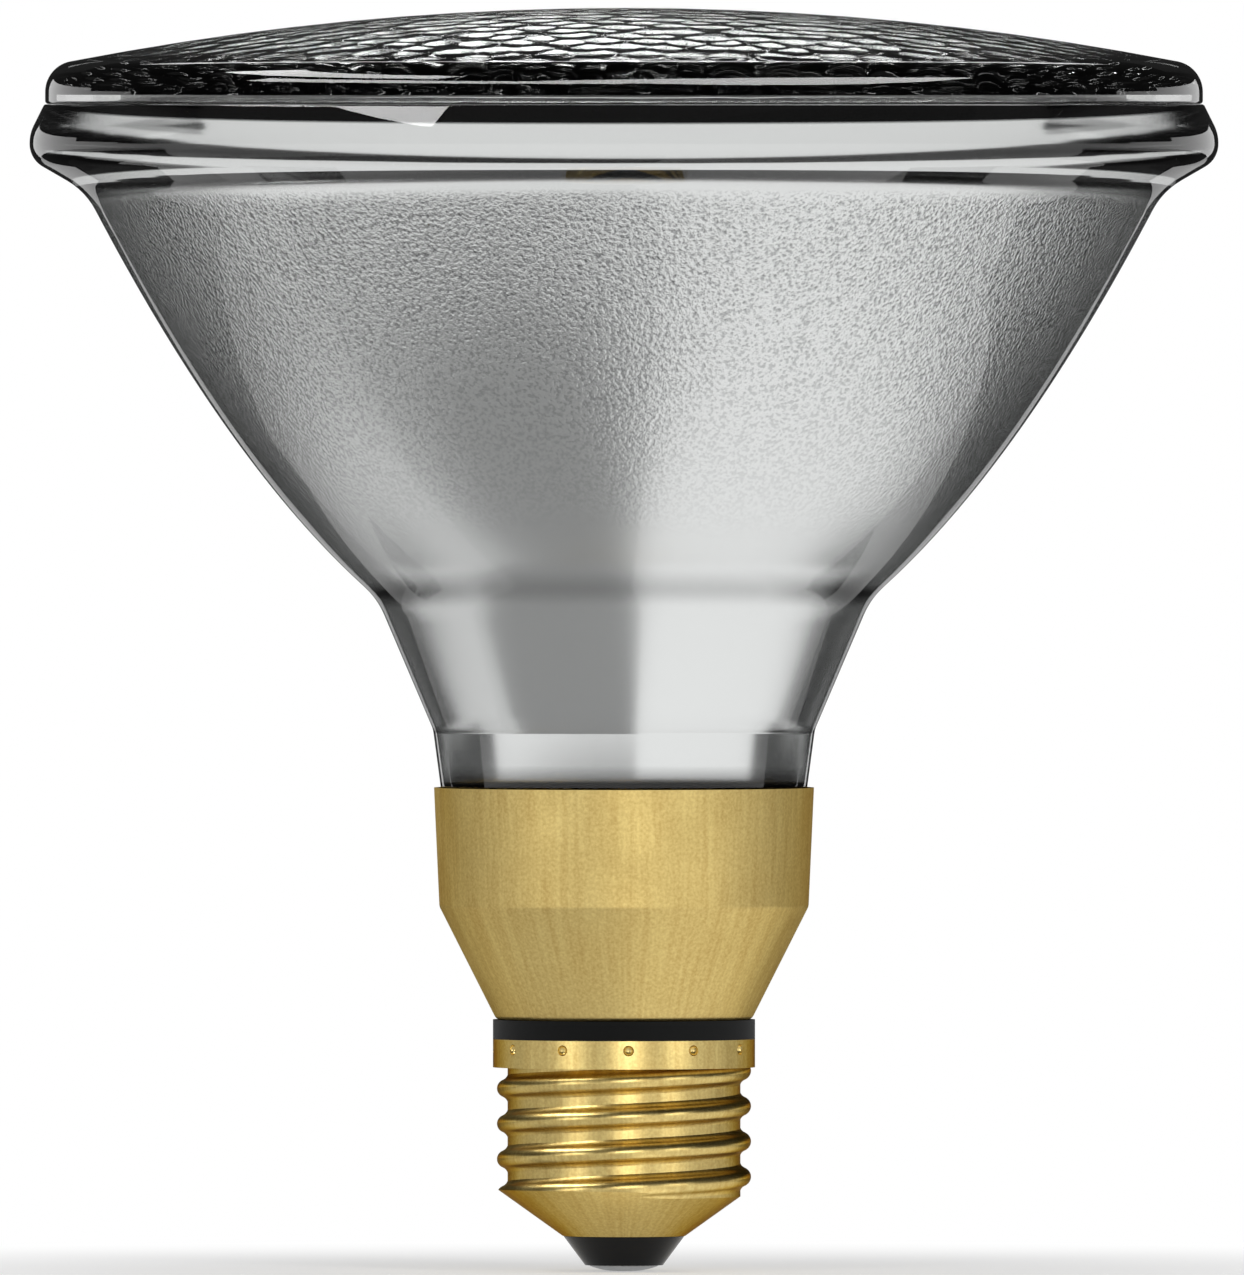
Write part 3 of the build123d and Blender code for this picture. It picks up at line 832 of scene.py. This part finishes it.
def make_floor():
    reach = 3.0
    fade_start = 0.03
    fade_end = 0.14
    least_white = 0.4
    turns = [2 * pi * step / 96 for step in range(96)]
    mesh = bpy.data.meshes.new("floor")
    level = cad_low.z - 0.05 * MM
    points = [(reach * cos(turn), reach * sin(turn), level) for turn in turns]
    mesh.from_pydata(points, [], [tuple(range(len(points)))])
    finish = bpy.data.materials.new("white_paper")
    finish.use_nodes = True
    tree = finish.node_tree
    tree.nodes.clear()
    place = add(tree, "ShaderNodeTexCoord")
    away = add(
        tree, "ShaderNodeVectorMath", {"operation": "LENGTH"}, {0: place.outputs["Object"]}
    )
    share = add(
        tree,
        "ShaderNodeMapRange",
        {
            "interpolation_type": "SMOOTHSTEP",
            "From Min": fade_start,
            "From Max": fade_end,
            "To Min": least_white,
        },
        {"Value": away.outputs["Value"]},
    )
    white = add(
        tree, "ShaderNodeMath", {"operation": "MULTIPLY"}, {0: share.outputs["Result"], 1: seen_ray(tree)}
    )
    paper = add(tree, "ShaderNodeBsdfDiffuse", {"Color": linear("#F2F2F2")})
    light = add(tree, "ShaderNodeEmission", {"Color": (1, 1, 1, 1), "Strength": 1.0})
    mixed = add(
        tree,
        "ShaderNodeMixShader",
        None,
        {0: white.outputs["Value"], 1: paper.outputs["BSDF"], 2: light.outputs["Emission"]},
    )
    add(tree, "ShaderNodeOutputMaterial", None, {"Surface": mixed.outputs["Shader"]})
    mesh.materials.append(finish)
    floor = bpy.data.objects.new("floor", mesh)
    bpy.context.scene.collection.objects.link(floor)
    floor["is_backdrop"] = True


def make_world():
    ambient = 0.55
    world = bpy.data.worlds.new("studio")
    bpy.context.scene.world = world
    world.use_nodes = True
    tree = world.node_tree
    tree.nodes.clear()
    strength = add(
        tree, "ShaderNodeMapRange", {"To Min": ambient, "To Max": 1.0}, {"Value": seen_ray(tree)}
    )
    sky = add(
        tree, "ShaderNodeBackground", {"Color": (1, 1, 1, 1)}, {"Strength": strength.outputs["Result"]}
    )
    add(tree, "ShaderNodeOutputWorld", None, {"Surface": sky.outputs["Background"]})


def softbox(name, place, aim, width, tall, power, shows=False, only=None):
    """Square soft light. It can show in metal and glass, and can be kept to some of the pieces."""
    lamp = bpy.data.lights.new(name, "AREA")
    lamp.shape = "RECTANGLE"
    lamp.size = width
    lamp.size_y = tall
    lamp.energy = power
    box = bpy.data.objects.new(name, lamp)
    box.location = place
    box.rotation_euler = (Vector(aim) - Vector(place)).to_track_quat("-Z", "Y").to_euler()
    box.visible_glossy = shows
    box.visible_transmission = shows
    bpy.context.scene.collection.objects.link(box)
    if only:
        keep_to(box, only)


def make_camera():
    """Level with the edge of the lens and far off, so that upright lines stay upright."""
    photo_h = 1275
    photo_top = 8
    photo_bottom = 1271
    axis_shift = 2
    away = 5.4
    pixel = (z_top * MM) / (photo_bottom - photo_top)
    view_h = photo_h * pixel
    centre_z = z_top * MM + (photo_top - photo_h / 2) * pixel
    data = bpy.data.cameras.new("camera")
    data.sensor_width = 36
    data.lens = data.sensor_width * away / view_h
    data.clip_end = 50
    camera = bpy.data.objects.new("camera", data)
    camera.location = (-axis_shift * pixel, -away, (z_seam + lens_edge_h) * MM)
    aim = Vector((-axis_shift * pixel, 0, centre_z))
    camera.rotation_euler = (aim - camera.location).to_track_quat("-Z", "Y").to_euler()
    bpy.context.scene.collection.objects.link(camera)
    bpy.context.scene.camera = camera


make_floor()
make_world()
# Cards on the floor, which the mirror shows: greys for its front, white for its bright right side and
# black for its edges and the sides of the neck. They lie just over each other.
low_level = 0.4 * MM
high_level = 0.8 * MM
for name, level, start, stop, brightness, near, far in [
    ("ground_front", low_level, -90, 90, 0.32, 0.014, 0.17),
    ("ground_back", low_level, 98, 262, 0.55, 0.014, 0.8),
    ("heel_back", high_level, 115, 245, 0.02, 0.072, 0.105),
    ("neck_left", high_level, -140, -97, 0.02, 0.17, 0.5),
    ("neck_right", high_level, 97, 140, 0.02, 0.17, 0.5),
    ("neck_back", high_level, 140, 220, 0.03, 0.17, 0.34),
    ("edge_left", high_level, -160, -140, 0.02, 0.34, 0.8),
    ("edge_right", high_level, 140, 160, 0.02, 0.34, 0.8),
    ("ground_right", high_level, 8, 118, 1.0, 0.014, 0.17),
    ("ground_left", high_level, -135, -80, 0.74, 0.014, 0.2),
]:
    ground_card(name, level, start, stop, brightness, near, far)
# Dark cards that draw the outlines of the clear glass and keep the edge of the lens black
for name, start, stop, away, low, high, brightness in [
    ("card_left", -130, -95, 0.8, 0.15, 0.6, 0.03),
    ("card_right", 95, 130, 0.8, 0.15, 0.6, 0.03),
    ("card_back", 162, 198, 0.8, 0.0, 0.5, 0.02),
    ("card_front", -115, 115, 2.2, 0.14, 1.5, 0.02),
    ("card_behind", 115, 245, 2.2, 0.35, 1.5, 0.02),
]:
    side_card(name, start, stop, away, low, high, brightness)
# Bright cards: a pale patch beside the seam, the stipple and the light in the edge of the lens, and the
# white line at its corner
side_card("sky_left", -120, -45, 0.9, 1.0, 1.45, 12.0)
edge_light = side_card("edge_light", -19, 87, 1.1, 0.62, 1.45, 11.0, pointed=True)
dome_light = side_card("dome_light", -87, 0, 1.12, 0.75, 1.0, 11.0)
side_card("sky_back", 163, 197, 0.9, 0.56, 0.66, 2.5)
keep_to(edge_light, [lens_piece])
keep_to(dome_light, [lens_piece])
ceiling_card("card_above", 1.5, 2.2, 0.02)
lamp_centre = (0, 0, 0.07)
base_centre = (0, 0, 0.03)
brass_pieces = [nodes["skirt"], nodes["screw_shell"]]
softbox("key_right", (0.7, -1.1, 0.5), lamp_centre, 0.35, 0.7, 6.0)
softbox("fill_left", (-0.7, -1.1, 0.5), lamp_centre, 0.35, 0.7, 3.5)
softbox("base_front", (0.1, -1.6, 0.3), base_centre, 0.5, 0.5, 5.5, True, brass_pieces)
softbox("base_right", (1.1, -1.0, 0.3), base_centre, 0.5, 0.5, 2.6, True, brass_pieces)
softbox("base_left", (-1.1, -1.0, 0.3), base_centre, 0.5, 0.5, 3.2, True, brass_pieces)
softbox("base_low", (-0.025, -0.045, 0.0012), (-0.025, -0.045, 1), 0.07, 0.07, 0.006, True, brass_pieces)
make_camera()
bpy.context.scene.view_settings.view_transform = "Standard"

bpy.context.view_layer.update()
low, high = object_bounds()
